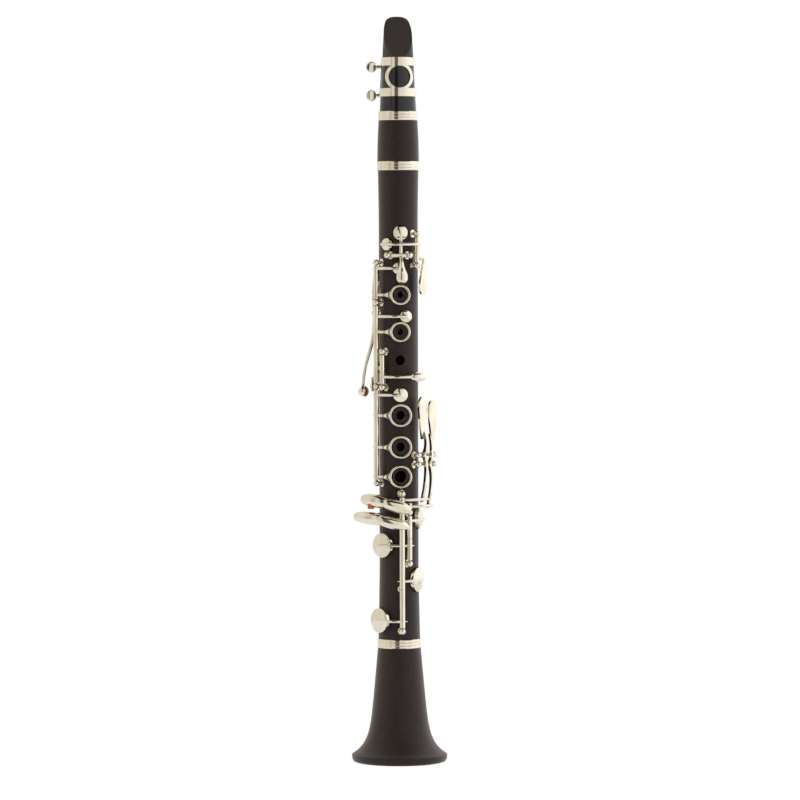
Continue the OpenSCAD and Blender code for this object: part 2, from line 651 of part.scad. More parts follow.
module mouthpiece() {
    window_w = 8.4;
    slope_a = atan((beak_r + table_y - tip_t) / beak_len);
    low = barrel_top - head_tenon_len;
    color(ebonite) difference() {
        union() {
            intersection() {
                head_cone(0);
                beak_front();
            }
            rotate_extrude() polygon([[0, low], [head_tenon_r, low], [head_tenon_r, low + 3],
                [head_tenon_r - cork_t, low + 3], [head_tenon_r - cork_t, low + head_tenon_len - 3],
                [head_tenon_r, low + head_tenon_len - 3], [head_tenon_r, barrel_top + 0.5], [0,
                    barrel_top + 0.5]]);
        }
        translate([0, -beak_r, beak_low]) rotate([-slope_a, 0, 0]) translate([-20, -40, 0]) cube([40,
            40, 60]);
        translate([-20, table_y, barrel_top + 3]) cube([40, 20, mouthpiece_len]);
        translate([0, 0, low - 1]) cylinder(h = head_tenon_len + 9, r = bore_r);
        difference() {
            translate([-window_w / 2, 0, barrel_top + 18]) cube([window_w, 10, mouthpiece_len - 21]);
            translate([0, 1.8 - beak_r, beak_low]) rotate([-slope_a, 0, 0]) translate([-20, -40,
                -20]) cube([40, 40, 80]);
        }
        translate([0, 0, barrel_top + 7]) cylinder(h = 15, r = bore_r - 0.5);
    }
}
module mouthpiece_cork() {
    color(cork) translate([0, 0, barrel_top - head_tenon_len + 3]) difference() {
        cylinder(h = head_tenon_len - 6, r = head_tenon_r - seat_gap / 3);
        translate([0, 0, -1]) cylinder(h = head_tenon_len, r = head_tenon_r - cork_t + seat_gap / 3);
    }
}
module reed() {
    vamp = 26;
    color(cane) difference() {
        intersection() {
            head_cone(-0.02);
            beak_front();
            translate([-reed_w / 2, table_y + seat_gap, barrel_top + 3.5]) cube([reed_w, 10,
                mouthpiece_len]);
        }
        translate([0, table_y + reed_tip_t, tip_z]) rotate([atan(2.4 / vamp), 0, 0])
            translate([-10, 0, -vamp - 8]) cube([20, 10, vamp + 12]);
    }
}
ligature_low = barrel_top + ligature_up;
screw_ups = [ligature_low + 1.4, ligature_low + ligature_h - 5.4];
screw_r = 1.1;
screw_reach = 15.8;
lug_r = 2;
lug_t = 2.8;
window_rim = 2;
side_slot_x = 8;
side_slot_w = 4;
screw_y = head_r(ligature_low) + 3;
module ligature() {
    gap = 0.1;
    mid = ligature_low + ligature_h / 2;
    slot_h = ligature_h - 2 * ligature_band;
    color(metal) difference() {
        union() {
            intersection() {
                head_cone(gap + ligature_t);
                translate([-20, -20, ligature_low]) cube([40, 40, ligature_h]);
            }
            for (z = screw_ups) for (s = [-1, 1]) lug(s, z);
        }
        head_cone(gap);
        translate([0, 0, mid]) rotate([90, 0, 0]) cylinder(h = 30, r = ligature_window_r);
        difference() {
            translate([-20, -20, mid - slot_h / 2]) cube([40, 24, slot_h]);
            translate([0, 1, mid]) rotate([90, 0, 0]) cylinder(h = 30, r = ligature_window_r
                + window_rim);
        }
        for (s = [-1, 1]) translate([s * side_slot_x - side_slot_w / 2, 5, mid - slot_h / 2])
            cube([side_slot_w, 20, slot_h]);
        translate([-1.6, 0, ligature_low - 1]) cube([3.2, 30, ligature_h + 2]);
        for (z = screw_ups) translate([-20, screw_y, z]) rotate([0, 90, 0]) cylinder(h = 40,
            r = screw_r + rod_gap);
    }
}
module lug(s, z) {
    translate([s * 3.6 - lug_t / 2, 0, z - lug_r]) cube([lug_t, screw_y, 2 * lug_r]);
    translate([s * 3.6 - lug_t / 2, screw_y, z]) rotate([0, 90, 0]) cylinder(h = lug_t, r = lug_r);
}
// Thumb screw with a waisted neck and a flat round head on the left
module thumb_screw(z, turn) {
    neck_end = screw_reach - screw_head_r + 0.6;
    color(metal) translate([0, screw_y, z]) {
        rotate([0, -90, 0]) rotate_extrude() polygon([[0, -6.2], [screw_r, -6.2], [screw_r, 5.6],
            [1.9, 5.6],
            [1.9, 6.6], [1.4, 8], [1.4, neck_end - 1.5], [1.1, neck_end], [0, neck_end]]);
        rotate([turn, 0, 0]) translate([-screw_reach, 0, 0]) rotate([90, 0, 0]) rotate_extrude()
            polygon([[0, -0.95],
            [screw_head_r - 0.4, -0.95], [screw_head_r, -0.55], [screw_head_r, 0.55],
                [screw_head_r - 0.4, 0.95],
            [screw_head_r - 0.7, 0.8], [0, 0.8]]);
    }
}
module ligature_screw_upper() thumb_screw(screw_ups[1], 12);
module ligature_screw_lower() thumb_screw(screw_ups[0], 0);

// Posts, rods, springs and fittings

module upper_posts() {
    color(metal) difference() {
        for (p = upper_post_list) post(p[0], p[1]);
        fixed_rods(rod_r + rod_gap);
    }
}
module lower_posts() {
    color(metal) difference() {
        for (p = lower_post_list) post(p[0], p[1]);
        fixed_rods(rod_r + rod_gap);
        through_rods(rod_r + rod_gap);
        tube(low_e_rod_at, low_mid_up - cradle_room, low_mid_up + cradle_room, tube_r + rod_gap);
    }
}
cradle_room = 5;
module hinge_rods() color(steel) fixed_rods(rod_r);
spring_d = body_r + 1.1;
spring_r = 0.35;
spring_len = 8;
module needle_springs() {
    color(steel) {
        for (up = [first_low_up, middle_post_up, right_low_up])
            facing(main_rod_a, spring_d, up) rotate([-90, 0, 0]) translate([0, 0, stem_r])
                cylinder(h = spring_len, r = spring_r);
        facing(g_rod_a, spring_d, g_low_up) rotate([-90, 0, 0]) translate([0, 0, stem_r])
            cylinder(h = spring_len, r = spring_r);
        facing(cross_rod_a, spring_d, cross_low_up) rotate([-90, 0, 0]) translate([0, 0, stem_r])
            cylinder(h = spring_len, r = spring_r);
    }
}
module register_bushing() {
    color(metal) difference() {
        facing(180, bore_r - register_in, register_pad_up)
            cylinder(h = seat_d(tiny_cup_r, register_pad_up) - bore_r + register_in,
                r = register_tube_r - seat_gap);
        facing(180, 0, register_pad_up) cylinder(h = 20, r = 1.5);
    }
}
module thumb_bushing() {
    color(metal) difference() {
        facing(180, bore_r - 0.4, thumb_hole_up)
            cylinder(h = body_r + chimney_rise - bore_r + 0.4, r = bushing_r - seat_gap);
        facing(180, 0, thumb_hole_up) cylinder(h = 20, r = bushing_r - 0.7);
    }
}
module thumb_rest() {
    color(metal) difference() {
        union() {
            rotate([0, 0, 180]) intersection() {
                translate([0, 0, body_low + thumb_rest_up - 9]) difference() {
                    cylinder(h = 18, r = body_r + 1.4);
                    translate([0, 0, -1]) cylinder(h = 20, r = body_r + seat_gap);
                }
                translate([-5, -30, 0]) cube([10, 30, body_top]);
            }
            edge_plate(180, 9) strip([[body_r + 1.1, body_low + thumb_rest_up - 8], [body_r + 5,
                body_low + thumb_rest_up - 7],
                [body_r + 9, body_low + thumb_rest_up - 8], [body_r + 14, body_low
                    + thumb_rest_up - 1]], 0.9, 0.7);
        }
        for (up = rest_screw_ups) facing(180, body_r - 2, thumb_rest_up + up)
            cylinder(h = 8, r = rest_screw_r + seat_gap);
    }
}
module thumb_rest_screws() {
    color(steel) for (up = rest_screw_ups) facing(180, 0, thumb_rest_up + up) {
        translate([0, 0, 8.8]) cylinder(h = body_r - 7, r = rest_screw_r - seat_gap);
        translate([0, 0, body_r + 1.45]) cylinder(h = 0.7, r1 = 1.7, r2 = 1.2);
    }
}

// Throat and register keys

module level_tube(p, q, up) {
    v = (ball_r + end_gap) * (q - p) / norm(q - p);
    bar([p.x + v.x, p.y + v.y, body_low + up], [q.x - v.x, q.y - v.y, body_low + up], tube_r - 0.15,
        tube_r - 0.15);
}
module throat_a_key() {
    color(metal) difference() {
        union() {
            level_tube(a_post(0), a_post(1), a_rod_up);
            seated(0, a_pad_up, small_cup_r) cup(small_cup_r, small_cone);
            bar([0, -a_rod_d, body_low + a_rod_up], polar3(0, seat_d(small_cup_r, a_pad_up)
                + cup_apex(small_cup_r, small_cone),
                body_low + a_pad_up - 0.5), 1.1, 0.95);
            bar([0, -a_rod_d, body_low + a_rod_up], polar3(0, a_touch_d, body_low + a_rod_up - 8),
                1.15, 1.3);
            bottle(polar3(0, a_touch_d - 0.9, body_low + a_rod_up - 4.6),
                polar3(0, a_touch_d + 0.4, body_low + a_rod_up - 18.2), 3.8, 1.3);
        }
        level_rod(a_post(0), a_post(1), a_rod_up, rod_r + rod_gap);
        seated(0, a_pad_up, small_cup_r) pad_room(small_cup_r);
    }
}
a_touch_d = body_r + 8.9;
module throat_a_pad() seated(0, a_pad_up, small_cup_r) pad(small_cup_r);
adjuster_up = a_rod_up + 8.2;
module throat_adjusting_screw() {
    d = a_rod_d + 1;
    color(steel) facing(0, d, adjuster_up) {
        cylinder(h = 0.6, r = 0.7);
        translate([0, 0, 0.6]) cylinder(h = 0.4, r = 1.2);
    }
}
g_arm_d = body_r + 7;
g_touch_a = 52;
g_touch_d = body_r + 7;
module throat_g_sharp_key() {
    top = seat_d(tiny_cup_r, g_pad_up) + cup_apex(tiny_cup_r, small_cone);
    color(metal) difference() {
        union() {
            tube(g_rod, g_low_up + ball_r + end_gap, g_top_up - ball_r - end_gap);
            seated(g_pad_a, g_pad_up, tiny_cup_r) cup(tiny_cup_r, small_cone);
            facing(g_pad_a, top - 0.6, g_pad_up) cylinder(h = g_arm_d - top + 0.9, r = 0.9);
            bow(polar(g_pad_a, g_arm_d), polar(g_rod_a, g_arm_d), g_arm_d, g_pad_up, arm_r * 0.95);
            bar(polar3(g_rod_a, g_rod_d, body_low + g_pad_up), polar3(g_rod_a, g_arm_d + 0.4,
                body_low + g_pad_up), 1.2, 0.9);
            bar(polar3(g_rod_a, g_rod_d, body_low + g_low_up + 7),
                polar3(g_touch_a, g_touch_d - 0.2, body_low + g_low_up + 3.6), 1.3, 0.9);
            facing(g_touch_a, g_touch_d, g_low_up + 5) rotate([-3, 0, 180]) translate([0, 0, -0.7])
                linear_extrude(1.4) leaf(8.6, 24, 1.1);
        }
        tube_bore(g_rod, g_low_up, g_top_up);
        seated(g_pad_a, g_pad_up, tiny_cup_r) pad_room(tiny_cup_r);
    }
}
module throat_g_sharp_pad() seated(g_pad_a, g_pad_up, tiny_cup_r) pad(tiny_cup_r);

module register_key() {
    touch_d = body_r + 5;
    color(metal) difference() {
        union() {
            level_tube(register_post(-1), register_post(1), register_rod_up);
            seated(180, register_pad_up, tiny_cup_r) cup(tiny_cup_r, small_cone);
            edge_plate(180, 2.2) strip([[seat_d(tiny_cup_r, register_pad_up)
                + cup_apex(tiny_cup_r, small_cone) - 0.3, body_low + register_pad_up + 1],
                [register_rod_d + 0.6, body_low + register_pad_up - 5], [register_rod_d + 0.4,
                    body_low + register_rod_up + 6],
                [register_rod_d, body_low + register_rod_up - 1]], 0.8, 1);
            edge_plate(180, 6.4) strip([[register_rod_d, body_low + register_rod_up],
                [register_rod_d + 1.4, body_low + register_rod_up - 8],
                [touch_d, body_low + register_rod_up - 14], [touch_d + 0.8, body_low
                    + register_rod_up - 24]], 1, 0.7);
        }
        level_rod(register_post(-1), register_post(1), register_rod_up, rod_r + rod_gap);
    }
}
module register_pad() seated(180, register_pad_up, tiny_cup_r) pad(tiny_cup_r);

// Ring keys

module ring_key(rings, chimney_r, low, high, pad_a, pad_up, cup_r) {
    color(metal) difference() {
        union() {
            tube(main_rod, low, high);
            turned(main_rod, -ring_lift) {
                for (up = rings) {
                    finger_ring(chimney_r, up);
                    ring_arm(chimney_r, up);
                }
                seated(pad_a, pad_up, cup_r) cup(cup_r, small_cone);
                cup_arm(main_rod, pad_a, pad_up, pad_up, cup_r, small_cone);
            }
            children();
        }
        tube_bore(main_rod, low, high);
    }
}
module first_ring_key() {
    ring_key([first_ring_up], left_chimney_r, first_low_up + ball_r + end_gap,
        first_top_up - ball_r - end_gap,
        first_pad_a, first_pad_up, tiny_cup_r);
}
module first_ring_pad() turned(main_rod, -ring_lift) seated(first_pad_a, first_pad_up, tiny_cup_r)
    pad(tiny_cup_r);
module second_ring_key() {
    ring_key([second_ring_up], left_chimney_r, middle_post_up + ball_r + end_gap,
        first_low_up - ball_r - end_gap,
        second_pad_a, second_pad_up, tiny_cup_r)
        // Bridge that reaches down past the post
        union() {
            bar([main_rod.x, main_rod.y, body_low + middle_post_up + 5], concat(bridge_at,
                [body_low + middle_post_up + 5]), 1.1, 0.9);
            translate([bridge_at.x, bridge_at.y, body_low + middle_post_up - bridge_drop])
                rotate([0, 0, main_rod_a]) translate([-0.6, -1.4, 0]) cube([1.2, 2.8, bridge_drop + 6]);
        }
}
bridge_drop = 3.3;
bridge_at = main_rod - 3.6 * [cos(main_rod_a), sin(main_rod_a)];
module second_ring_pad() turned(main_rod, -ring_lift) seated(second_pad_a, second_pad_up, tiny_cup_r)
    pad(tiny_cup_r);
module right_ring_key() {
    ring_key(right_ring_ups, right_chimney_r, right_low_up + ball_r + end_gap,
        middle_post_up - ball_r - end_gap,
        0, right_pad_up, small_cup_r);
}
module right_ring_pad() turned(main_rod, -ring_lift) seated(0, right_pad_up, small_cup_r)
    pad(small_cup_r);
module thumb_ring_key() {
    low = thumb_hole_up - thumb_low_drop + ball_r + end_gap;
    high = thumb_hole_up + thumb_top_rise - ball_r - end_gap;
    pad_up = thumb_hole_up - thumb_pad_drop;
    color(metal) difference() {
        union() {
            tube(thumb_rod, low, high);
            turned(thumb_rod, -ring_lift) {
                finger_ring(left_chimney_r, thumb_hole_up, 180);
                bow(thumb_rod, polar(180 - 26, body_r + chimney_rise + 1.2), body_r + 3,
                    thumb_hole_up, arm_r * 1.2);
                seated(thumb_pad_a, pad_up, tiny_cup_r) cup(tiny_cup_r, small_cone);
                cup_arm(thumb_rod, thumb_pad_a, pad_up, pad_up, tiny_cup_r, small_cone);
            }
        }
        tube_bore(thumb_rod, low, high);
    }
}
module thumb_ring_pad() {
    turned(thumb_rod, -ring_lift) seated(thumb_pad_a, thumb_hole_up - thumb_pad_drop, tiny_cup_r)
        pad(tiny_cup_r);
}

// Cross key and side trill keys

module c_sharp_key() {
    strap_d = body_r + 1.25;
    color(metal) difference() {
        union() {
            tube(cross_rod, cross_low_up + ball_r + end_gap, cross_top_up - ball_r - end_gap,
                tube_r - 0.2);
            bow(cross_rod, polar(27, body_r + 4.4), body_r + 4, cross_arm_up);
            plump(polar3(52, body_r + 7.6, body_low + cross_arm_up), polar3(20, body_r + 4.4,
                body_low + cross_arm_up), 3.2);
            seated(cross_pad_a, cross_pad_up, tiny_cup_r) cup(tiny_cup_r, small_cone * 0.6);
            rotate([0, 0, cross_pad_a + 6 - 90]) translate([0, 0, body_low + cross_pad_up - 1.4])
                rotate_extrude(angle = cross_rod_a - cross_pad_a - 6) translate([strap_d - 0.5, 0])
                    square([1.1, 2.8]);
            bar(polar3(cross_rod_a, strap_d - 0.2, body_low + cross_pad_up), polar3(cross_rod_a,
                cross_rod_d, body_low + cross_pad_up), 1.2, 1.2);
        }
        tube_bore(cross_rod, cross_low_up, cross_top_up);
        seated(cross_pad_a, cross_pad_up, tiny_cup_r) pad_room(tiny_cup_r);
    }
}
module c_sharp_pad() seated(cross_pad_a, cross_pad_up, tiny_cup_r) pad(tiny_cup_r);

// See-saw lever on the side: pad above its rod, touch swung out below it
module trill_key(a, rod_up, drop, swing, touch_r) {
    pad_up = rod_up + trill_rise;
    z = body_low + rod_up;
    top = seat_d(tiny_cup_r, pad_up) + cup_apex(tiny_cup_r, small_cone);
    color(metal) difference() {
        union() {
            level_tube(trill_post(a, -1), trill_post(a, 1), rod_up);
            seated(a, pad_up, tiny_cup_r) cup(tiny_cup_r, small_cone);
            edge_plate(a, 2.2) strip([[trill_rod_d, z - 1], [trill_rod_d + 1.2, z + 8],
                [top + 1.2, z + trill_rise - 8], [top - 0.2, z + trill_rise + 1]], 1.1, 0.7);
            edge_plate(a, 2.6) strip([[trill_rod_d, z + 1], [trill_rod_d, z - 0.54 * drop],
                [trill_rod_d + 0.8 * swing, z - 0.5 * drop], [trill_rod_d + swing, z - drop]], 1.3, 0.9);
            bar(trill_touch(a, rod_up, drop, swing, -1), trill_touch(a, rod_up, drop, swing, 1),
                touch_r, touch_r);
        }
        level_rod(trill_post(a, -1), trill_post(a, 1), rod_up, rod_r + rod_gap);
    }
}
function trill_touch(a, rod_up, drop, swing, s) =
    let (p = polar(a, trill_rod_d + swing) + s * 3 * [cos(a), sin(a)])
    [p.x, p.y, body_low + rod_up - drop - 2.2];
module upper_trill_key() {
    trill_key(upper_trill_a, trill_rod_up, trill_rod_up - trill_touch_up, trill_swing, trill_touch_r);
}
module upper_trill_pad() seated(upper_trill_a, trill_rod_up + trill_rise, tiny_cup_r) pad(tiny_cup_r);
module upper_trill_cork() {
    p = trill_touch(upper_trill_a, trill_rod_up, trill_rod_up - trill_touch_up, trill_swing, 0);
    color(cork) translate(p) rotate([0, 0, upper_trill_a]) rotate([0, 90, 0]) rotate([0, 0, 20])
        rotate_extrude(angle = 140) translate([trill_touch_r + seat_gap, -2.4]) square([1, 4.8]);
}
module lower_trill_key() {
    trill_key(lower_trill_a, lower_trill_rod_up, lower_trill_rod_up - trill_touch_up - 3, lower_trill_swing,
        lower_touch_r);
}
module lower_trill_pad() seated(lower_trill_a, lower_trill_rod_up + trill_rise, tiny_cup_r)
    pad(tiny_cup_r);

// Little-finger levers on the right

// Lever in its own plane: offset along its rod, rod height, end height, distances of end, stem and touch
module left_lever(off, rod_up, end_up, end_d, stem_d, touch_d, touch_up, touch_off) {
    z = body_low + rod_up;
    p = polar(lever_a, lever_rod_d) + (off - lever_hub) * [cos(lever_a), sin(lever_a)];
    q = polar(lever_a, lever_rod_d) + (off + lever_hub) * [cos(lever_a), sin(lever_a)];
    color(metal) difference() {
        union() {
            bar([p.x, p.y, z], [q.x, q.y, z], tube_r, tube_r);
            edge_plate(lever_a, 1.8, off) strip([[lever_rod_d, z - 0.5], [lever_rod_d + 4.3, z
                + 3.5], [stem_d + 1.2, z + 14],
                [touch_d, body_low + touch_up + 6]], 1.3, 0.8);
            edge_plate(lever_a, 1.8, off) strip([[lever_rod_d, z + 0.5], [lever_rod_d + 4.3, z - 3.5],
                [lever_rod_d + 3.4, z - 16], [end_d, body_low + end_up]], 1.3, 0.75);
            rotate([0, 0, lever_a]) translate([off + touch_off, -touch_d - 0.8, body_low + touch_up])
                rotate([90, 0, 0])
                translate([0, 0, -0.8]) linear_extrude(1.6) leaf(7.6, lever_touch_l, 1.1);
        }
        level_rod(lever_post(0), lever_post(1), rod_up, rod_r + rod_gap);
    }
}
// Leaf outline that widens from its neck to a round end
module leaf(w, l, neck) {
    widen = [for (i = [0 : steps]) let (t = i / steps)
        [neck + (w / 2 - neck) * pow(sin(90 * t), 1.4), 0.78 * l * t]];
    end = [for (i = [1 : 5]) [w / 2 * cos(18 * i), l * (0.78 + 0.22 * sin(18 * i))]];
    half = concat(widen, end);
    polygon(concat(half, [for (i = [len(half) - 2 : -1 : 0]) [-half[i].x, half[i].y]]));
}
module long_left_lever() {
    left_lever(lever_offs[0], long_lever_up, long_arm_up - 2, body_r + 3, body_r + 6.4, body_r + 4.4,
        long_touch_up, -1.6);
}
module short_left_lever() {
    left_lever(lever_offs[1], short_lever_up, short_arm_up - 2, body_r + 3.2, body_r + 6.2, body_r + 5.6,
        short_touch_up, 1.6);
}

// Low-note keys

module low_e_key() {
    color(metal) difference() {
        union() {
            tube(low_e_rod_at, low_split_up + end_gap / 2, low_e_top_up - ball_r - end_gap);
            tube(low_e_rod_at, low_e_low_up + ball_r + end_gap, low_mid_up - end_gap / 2);
            turned(low_e_rod_at, low_lift) {
                seated(low_e_pad_a, low_e_pad_up, large_cup_r) cup(large_cup_r, large_cone);
                cup_arm(low_e_rod_at, low_e_pad_a, low_e_pad_up, low_e_pad_up, large_cup_r, large_cone);
            }
            bow(polar(-3, low_e_rod_d + 0.6), polar(63, body_r + 7.1), body_r + 7, long_arm_up);
            plump(low_e_touch[0], low_e_touch[1], touch_rs[0]);
            bar(low_e_neck, polar3(0, low_e_rod_d, cluster_z - 8.5), neck_r, neck_r - 0.3);
        }
        tube_bore(low_e_rod_at, low_e_low_up, low_e_top_up);
    }
}
module low_e_rod() color(steel) tube(low_e_rod_at, low_e_low_up - 1.6, low_e_top_up + 1.6, rod_r);
module low_e_pad() turned(low_e_rod_at, low_lift) seated(low_e_pad_a, low_e_pad_up, large_cup_r)
    pad(large_cup_r);
module low_e_cork() {
    color(cork) difference() {
        bar(polar3(-58, body_r + 10.7, cluster_z - 10.6), polar3(-58, body_r + 10.5, cluster_z - 5),
            2.1, 2.1);
        plump(low_e_touch[0], low_e_touch[1], touch_rs[0]);
    }
}
module low_f_key() {
    color(metal) difference() {
        union() {
            tube(low_e_rod_at, low_mid_up + end_gap / 2, low_split_up - end_gap / 2);
            seated(low_f_pad_a, low_f_pad_up, large_cup_r) cup(large_cup_r, large_cone);
            cup_arm(low_e_rod_at, low_f_pad_a, low_f_pad_up, low_f_pad_up, large_cup_r, large_cone);
            plump(low_f_touch[0], low_f_touch[1], touch_rs[1]);
            bar(low_f_neck, polar3(0, low_e_rod_d, cluster_z - 18.5), neck_r, neck_r - 0.3);
        }
        tube_bore(low_e_rod_at, low_mid_up, low_split_up);
    }
}
module low_f_pad() seated(low_f_pad_a, low_f_pad_up, large_cup_r) pad(large_cup_r);
module low_f_sharp_key() {
    color(metal) difference() {
        union() {
            tube(f_sharp_rod_at, f_sharp_top_up + ball_r + end_gap, short_arm_up + 2);
            tube(f_sharp_rod_at, f_sharp_low_up + ball_r + end_gap, f_sharp_split_up - end_gap / 2);
            turned(f_sharp_rod_at, low_lift) {
                seated(f_sharp_pad_a, f_sharp_pad_up, large_cup_r) cup(large_cup_r, large_cone);
                cup_arm(f_sharp_rod_at, f_sharp_pad_a, f_sharp_pad_up, f_sharp_pad_up, large_cup_r,
                    large_cone, 3 * body_r);
            }
            bow(f_sharp_rod_at, polar(78, body_r + 9.6), body_r + 1.6, short_arm_up);
            plump(f_sharp_touch[0], f_sharp_touch[1], touch_rs[2]);
            bar(f_sharp_neck, polar3(f_sharp_rod_a, f_sharp_rod_d, cluster_z - 8), neck_r, neck_r - 0.3);
        }
        tube_bore(f_sharp_rod_at, f_sharp_low_up, short_arm_up + 2);
        turned(f_sharp_rod_at, low_lift) seated(f_sharp_pad_a, f_sharp_pad_up, large_cup_r)
            pad_room(large_cup_r);
    }
}
module low_f_sharp_rod() color(steel) tube(f_sharp_rod_at, f_sharp_low_up - 1.6, short_arm_up + 2, rod_r);
module low_f_sharp_pad() {
    turned(f_sharp_rod_at, low_lift) seated(f_sharp_pad_a, f_sharp_pad_up, large_cup_r) pad(large_cup_r);
}
module a_flat_key() {
    cup_r = large_cup_r - 0.5;
    color(metal) difference() {
        union() {
            tube(f_sharp_rod_at, f_sharp_split_up + end_gap / 2, f_sharp_top_up - ball_r - end_gap);
            seated(a_flat_pad_a, a_flat_pad_up, cup_r) cup(cup_r, large_cone);
            cup_arm(f_sharp_rod_at, a_flat_pad_a, a_flat_pad_up, a_flat_pad_up - 1.2, cup_r, large_cone);
            plump(a_flat_touch[0], a_flat_touch[1], touch_rs[3]);
            bar(a_flat_neck, polar3(f_sharp_rod_a, f_sharp_rod_d, cluster_z - 24), neck_r, neck_r - 0.2);
        }
        tube_bore(f_sharp_rod_at, f_sharp_split_up, f_sharp_top_up);
    }
}
module a_flat_pad() seated(a_flat_pad_a, a_flat_pad_up, large_cup_r - 0.5) pad(large_cup_r - 0.5);

body_tube();
body_top_cork();
body_bottom_cork();
bell();
bell_ring();
upper_posts();
lower_posts();
hinge_rods();
needle_springs();
register_bushing();
thumb_bushing();
thumb_rest();
thumb_rest_screws();
barrel();
barrel_top_ring();
barrel_bottom_ring();
mouthpiece();
mouthpiece_cork();
reed();
ligature();
ligature_screw_upper();
ligature_screw_lower();
register_key();
register_pad();
throat_a_key();
throat_a_pad();
throat_adjusting_screw();
throat_g_sharp_key();
throat_g_sharp_pad();
first_ring_key();
first_ring_pad();
second_ring_key();
second_ring_pad();
thumb_ring_key();
thumb_ring_pad();
c_sharp_key();
c_sharp_pad();
right_ring_key();
right_ring_pad();
upper_trill_key();
upper_trill_pad();
upper_trill_cork();
lower_trill_key();
lower_trill_pad();
long_left_lever();
short_left_lever();
low_e_key();
low_e_rod();
low_e_pad();
low_e_cork();
low_f_key();
low_f_pad();
low_f_sharp_key();
low_f_sharp_rod();
low_f_sharp_pad();
a_flat_key();
a_flat_pad();
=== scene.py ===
"""Studio scene of the small one-piece clarinet: finishes, fine metalwork, light and camera."""
import json
import math

import bmesh
import bpy
from mathutils import Matrix, Vector


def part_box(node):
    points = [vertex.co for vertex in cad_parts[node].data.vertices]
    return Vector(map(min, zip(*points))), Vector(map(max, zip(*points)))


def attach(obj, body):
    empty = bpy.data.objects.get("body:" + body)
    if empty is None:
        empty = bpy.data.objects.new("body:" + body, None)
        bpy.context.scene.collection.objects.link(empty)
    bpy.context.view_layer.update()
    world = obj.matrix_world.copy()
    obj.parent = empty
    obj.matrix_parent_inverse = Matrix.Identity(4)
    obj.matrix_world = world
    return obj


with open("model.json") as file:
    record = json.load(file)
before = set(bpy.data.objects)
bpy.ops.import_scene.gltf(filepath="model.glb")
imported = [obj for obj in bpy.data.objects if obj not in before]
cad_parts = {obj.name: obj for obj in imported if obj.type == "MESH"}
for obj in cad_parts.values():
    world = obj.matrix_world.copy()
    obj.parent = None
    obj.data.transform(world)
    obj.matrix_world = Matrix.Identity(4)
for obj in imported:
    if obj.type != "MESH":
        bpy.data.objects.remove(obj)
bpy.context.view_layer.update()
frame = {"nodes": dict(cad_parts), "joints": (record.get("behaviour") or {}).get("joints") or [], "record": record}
nodes = frame["nodes"]
hinges = [joint for joint in frame["joints"] if joint["type"] == "hinge"]
MM = 0.001  # lengths below are in millimetres times MM, or in metres


# Shader maths

class Sock:
    """A node's output that can be used in Python expressions."""

    def __init__(self, paint, out):
        self.paint = paint
        self.out = out

    def math(self, operation, a, b):
        return self.paint.node("ShaderNodeMath", {"operation": operation}, {0: a, 1: b})

    def __add__(self, other):
        return self.math("ADD", self, other)

    def __radd__(self, other):
        return self.math("ADD", other, self)

    def __sub__(self, other):
        return self.math("SUBTRACT", self, other)

    def __rsub__(self, other):
        return self.math("SUBTRACT", other, self)

    def __mul__(self, other):
        return self.math("MULTIPLY", self, other)


class Paint:
    """A material or world under construction."""

    def __init__(self, owner):
        owner.use_nodes = True
        self.tree = owner.node_tree
        self.tree.nodes.clear()

    def node(self, kind, settings=None, sockets=None, out=0):
        made = self.tree.nodes.new(kind)
        for name, value in (settings or {}).items():
            setattr(made, name, value)
        for name, value in (sockets or {}).items():
            socket = made.inputs[name]
            if isinstance(value, Sock):
                self.tree.links.new(value.out, socket)
            else:
                socket.default_value = value
        return Sock(self, made.outputs[out])

    def place(self, scale):
        """Object coordinates in metres, times a scale for each axis."""
        coords = self.node("ShaderNodeTexCoord", out="Object")
        return self.node("ShaderNodeMapping", None, {"Vector": coords, "Scale": scale})

    def noise(self, scale, detail=4, roughness=0.55, distortion=0.0):
        """Noise whose grains are 1 / scale metres long on each axis."""
        return self.node("ShaderNodeTexNoise", None, {"Vector": self.place(scale), "Scale": 1.0,
            "Detail": detail, "Roughness": roughness, "Distortion": distortion})

    def height(self):
        """Height above the bell rim in metres."""
        coords = self.node("ShaderNodeTexCoord", out="Object")
        return self.node("ShaderNodeSeparateXYZ", None, {0: coords}, out=2)

    def step(self, value, low, high):
        """Smooth change from 0 to 1 while a value goes from low to high."""
        return self.node("ShaderNodeMapRange", {"interpolation_type": "SMOOTHSTEP"},
            {"Value": value, "From Min": low, "From Max": high, "To Min": 0.0, "To Max": 1.0})

    def blend(self, amount, a, b):
        """Colour between a and b."""
        return self.node("ShaderNodeMix", {"data_type": "RGBA"}, {0: amount, 6: a, 7: b}, out=2)

    def bump(self, height, strength, distance):
        return self.node("ShaderNodeBump", None,
            {"Height": height, "Strength": strength, "Distance": distance})

    def surface(self, **sockets):
        """Principled surface; a socket's name is written with _ for a space."""
        named = {name.replace("_", " "): value for name, value in sockets.items()}
        shader = self.node("ShaderNodeBsdfPrincipled", None, named)
        self.tree.links.new(shader.out, self.node_output("ShaderNodeOutputMaterial"))

    def node_output(self, kind):
        return self.tree.nodes.new(kind).inputs["Surface"]


def colour(*rgb):
    """Screen colour out of 255 as the linear colour that shaders take."""
    levels = [v / 255 for v in rgb]
    return tuple(v / 12.92 if v < 0.0405 else ((v + 0.055) / 1.055) ** 2.4 for v in levels) + (1,)


def new_paint(name):
    material = bpy.data.materials.new(name)
    return material, Paint(material)


# Finishes

